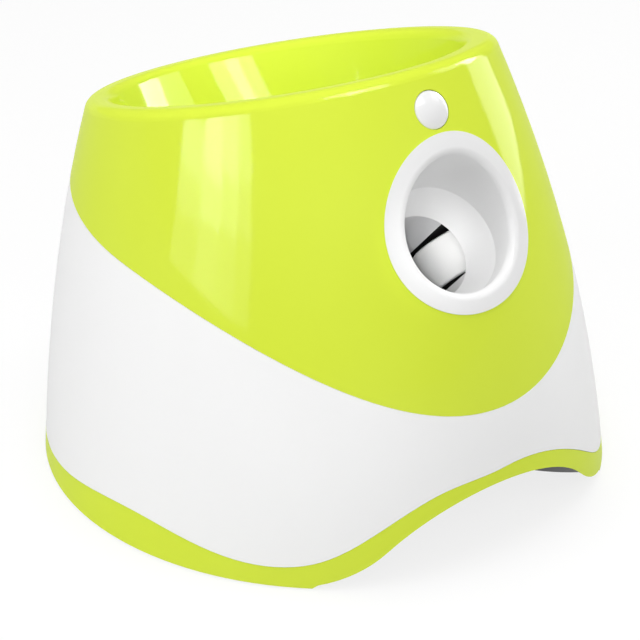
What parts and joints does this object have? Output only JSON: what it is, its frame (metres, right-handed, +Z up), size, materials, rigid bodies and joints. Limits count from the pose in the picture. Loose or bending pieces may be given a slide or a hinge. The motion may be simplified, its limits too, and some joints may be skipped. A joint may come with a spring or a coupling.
{
  "type": "automatic dog ball launcher",
  "caption": "Tapered green and white pet ball launcher with a tilted hopper, sloping ball duct, kicker lever and counter-rotating drums that throw a ball out of a round mouth.",
  "frame": {"origin": "on the ground under the middle of the bounding box", "axes": "+Z up, -Y the way the balls fly out of the front, +X to the right of someone who looks along +Y"},
  "size_m": [0.3396, 0.352, 0.2686],
  "materials": {
    "green_plastic": "gloss",
    "white_plastic": "gloss",
    "white_matte": "satin",
    "duct_plastic": "satin",
    "dark_plastic": "satin",
    "board": "satin",
    "tyre_rubber": "satin",
    "dark_rubber": "matt",
    "steel": "brushed",
    "zinc_steel": "bright",
    "brass": "satin",
    "cell_sleeve": "satin"
  },
  "bodies": {
    "housing": {"upper_shell": "green_plastic", "hopper_bowl": "green_plastic", "base_trim": "green_plastic", "lower_shell": "white_plastic", "exit_bezel": "white_plastic", "base_tray": "white_matte", "foot_pads": "dark_rubber", "case_screws": "zinc_steel", "duct_left": "duct_plastic", "duct_right": "duct_plastic", "duct_screws": "zinc_steel", "left_motor": "steel", "right_motor": "steel", "motor_end_caps": "dark_plastic", "motor_screws": "zinc_steel", "frame_left": "dark_plastic", "frame_right": "dark_plastic", "frame_screws": "zinc_steel", "lug_screws": "zinc_steel", "feed_motor": "steel", "ball_sensor_emitter": "dark_plastic", "ball_sensor_receiver": "dark_plastic", "battery_box": "dark_plastic", "battery_cells": "cell_sleeve", "battery_contacts": "steel", "main_board": "board", "board_parts": "dark_plastic", "board_screws": "zinc_steel", "dc_jack": "dark_plastic", "jack_nut": "steel", "switch_board": "board", "switch_body": "dark_plastic", "switch_screws": "zinc_steel"},
    "button": {"mode_button": "white_plastic", "switch_plunger": "dark_plastic"},
    "left_drum_body": {"left_drum": "white_plastic", "left_tyre": "tyre_rubber", "left_spindle": "steel"},
    "right_drum_body": {"right_drum": "white_plastic", "right_tyre": "tyre_rubber", "right_spindle": "steel"},
    "kicker": {"kicker_arm": "duct_plastic", "kicker_pad": "dark_rubber", "kicker_shaft": "steel", "kicker_gear": "white_matte"},
    "feed_drive": {"feed_pinion": "brass", "feed_motor_shaft": "steel"},
    "door": {"battery_door": "white_matte"}
  },
  "joints": [
    {"name": "button_press", "type": "slide", "parent": "housing", "child": "button", "axis": [0, 0.8514, -0.5245], "range_m": [0, 0.0015], "stiffness_N_per_m": 250, "springref_m": -0.002},
    {"name": "left_drum_spin", "type": "hinge", "parent": "housing", "child": "left_drum_body", "pos_m": [-0.0505, -0.07983, 0.13802], "axis": [0, 0.7254, 0.6884], "continuous": true},
    {"name": "right_drum_spin", "type": "hinge", "parent": "housing", "child": "right_drum_body", "pos_m": [0.0505, -0.07983, 0.13802], "axis": [0, 0.7254, 0.6884], "continuous": true},
    {"name": "kicker_swing", "type": "hinge", "parent": "housing", "child": "kicker", "pos_m": [0, -0.06389, 0.06312], "axis": [1, 0, 0], "range_deg": [0, 43]},
    {"name": "feed_pinion_spin", "type": "hinge", "parent": "housing", "child": "feed_drive", "pos_m": [0, -0.05182, 0.0422], "axis": [1, 0, 0], "range_deg": [-130, 1]},
    {"name": "door_hinge", "type": "hinge", "parent": "housing", "child": "door", "pos_m": [0, 0.0941, 0.0031], "axis": [1, 0, 0], "range_deg": [0, 95]}
  ],
  "couplings": [
    {"joint": "right_drum_spin", "follows": "left_drum_spin", "ratio": -1},
    {"joint": "feed_pinion_spin", "follows": "kicker_swing", "ratio": -3}
  ]
}
